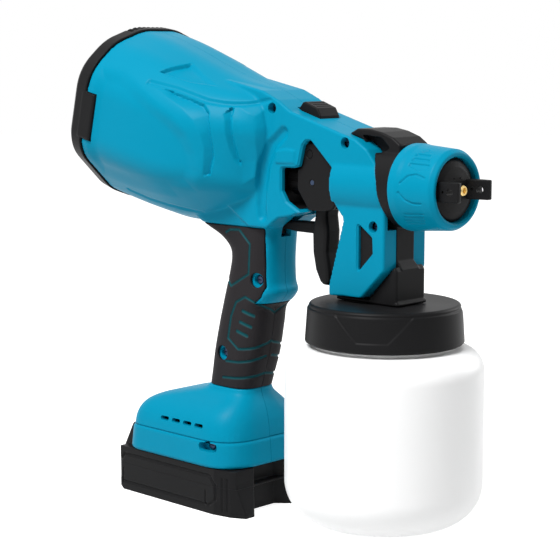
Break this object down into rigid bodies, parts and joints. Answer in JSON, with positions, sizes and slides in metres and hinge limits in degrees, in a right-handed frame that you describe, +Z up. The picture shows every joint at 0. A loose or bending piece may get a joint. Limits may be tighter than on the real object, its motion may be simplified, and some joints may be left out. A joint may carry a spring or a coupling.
{
  "type": "cordless paint sprayer",
  "caption": "Cordless turbine paint spray gun with a hanging paint jar, a pistol grip with a trigger, and a slide-on battery as its foot.",
  "frame": {"origin": "middle of the battery's flat foot, on the surface it stands on", "axes": "+X is the spray direction, +Z is up, +Y is the gun's left side"},
  "size_m": [0.3168, 0.124, 0.3212],
  "materials": {
    "blue_plastic": "satin moulded",
    "black_plastic": "fine matt texture",
    "rubber": "soft overmould",
    "jar_plastic": "milky, satin",
    "steel": "bright",
    "brass": "turned",
    "board": "lacquered",
    "foam": "open foam",
    "motor_metal": "cast",
    "cell_metal": "shrink-wrapped"
  },
  "bodies": {
    "housing": {"shell_left": "blue_plastic", "shell_right": "blue_plastic", "grip_left": "rubber", "grip_right": "rubber", "spray_body": "black_plastic", "jar_lid": "black_plastic", "lid_gasket": "rubber", "pickup_tube": "jar_plastic", "fluid_nozzle": "brass", "needle_packing": "rubber", "trigger_pivot": "steel", "terminal_block": "black_plastic", "control_board": "board", "trigger_switch": "black_plastic", "button_switch": "board", "wire_loom": "rubber", "motor_can": "motor_metal", "motor_plate": "black_plastic", "fan_shroud": "black_plastic", "bearing_front": "steel", "bearing_rear": "steel", "screw_base": "steel", "screw_frame": "steel", "screw_handle_lower": "steel", "screw_handle_upper": "steel", "screw_neck_front": "steel", "screw_neck_rear": "steel"},
    "trigger": {"trigger": "black_plastic", "needle_pin": "steel"},
    "needle": {"needle": "steel", "needle_spring": "steel"},
    "switch_plunger": {"switch_plunger": "black_plastic"},
    "power_button": {"power_button": "black_plastic"},
    "flow_knob": {"flow_knob": "black_plastic"},
    "lock_nut": {"lock_nut": "blue_plastic"},
    "air_cap": {"air_cap": "black_plastic"},
    "jar": {"paint_jar": "jar_plastic"},
    "rear_cap": {"rear_cap": "black_plastic", "air_filter": "foam"},
    "rotor": {"fan_wheel": "black_plastic", "motor_shaft": "steel"},
    "battery": {"battery_lower_case": "black_plastic", "battery_upper_case": "black_plastic", "cell_1": "cell_metal", "cell_2": "cell_metal", "cell_3": "cell_metal", "cell_4": "cell_metal", "cell_5": "cell_metal", "battery_button_spring": "steel"},
    "battery_button": {"battery_button": "black_plastic"}
  },
  "joints": [
    {"name": "trigger_pull", "type": "hinge", "parent": "housing", "child": "trigger", "pos_m": [0.1005, 0, 0.241], "axis": [0, 1, 0], "range_deg": [0, 12], "stiffness_Nm_per_rad": 2, "springref_deg": -11.46},
    {"name": "needle_slide", "type": "slide", "parent": "housing", "child": "needle", "axis": [-1, 0, 0], "range_m": [0, 0.0038], "deforming": ["needle_spring"]},
    {"name": "switch_press", "type": "slide", "parent": "housing", "child": "switch_plunger", "axis": [-1, 0, 0], "range_m": [0, 0.0097]},
    {"name": "power_press", "type": "slide", "parent": "housing", "child": "power_button", "axis": [0, 0, -1], "range_m": [0, 0.0022], "stiffness_N_per_m": 400, "springref_m": -0.002},
    {"name": "flow_turn", "type": "hinge", "parent": "housing", "child": "flow_knob", "pos_m": [0.076, 0, 0.2238], "axis": [1, 0, 0], "range_deg": [0, 360]},
    {"name": "cap_turn", "type": "hinge", "parent": "housing", "child": "air_cap", "pos_m": [0.218, 0, 0.2238], "axis": [1, 0, 0], "range_deg": [0, 90]},
    {"name": "nut_turn", "type": "hinge", "parent": "housing", "child": "lock_nut", "pos_m": [0.1725, 0, 0.2238], "axis": [1, 0, 0], "continuous": true},
    {"name": "jar_turn", "type": "hinge", "parent": "housing", "child": "jar", "pos_m": [0.15, 0, 0.0138], "axis": [0, 0, 1], "continuous": true},
    {"name": "cap_pull", "type": "slide", "parent": "housing", "child": "rear_cap", "axis": [-0.972, 0, 0.2351], "range_m": [0, 0.05]},
    {"name": "rotor_spin", "type": "hinge", "parent": "housing", "child": "rotor", "pos_m": [-0.05689, 0, 0.25671], "axis": [0.972, 0, -0.2351], "continuous": true},
    {"name": "battery_slide", "type": "slide", "parent": "housing", "child": "battery", "axis": [-1, 0, 0], "range_m": [0, 0.11]},
    {"name": "battery_release", "type": "slide", "parent": "battery", "child": "battery_button", "axis": [0, 0, -1], "range_m": [0, 0.003], "stiffness_N_per_m": 400, "springref_m": -0.002, "deforming": ["battery_button_spring"]}
  ],
  "couplings": [
    {"joint": "needle_slide", "follows": "trigger_pull", "m_per_rad": 0.0177},
    {"joint": "switch_press", "follows": "trigger_pull", "m_per_rad": 0.0458}
  ]
}
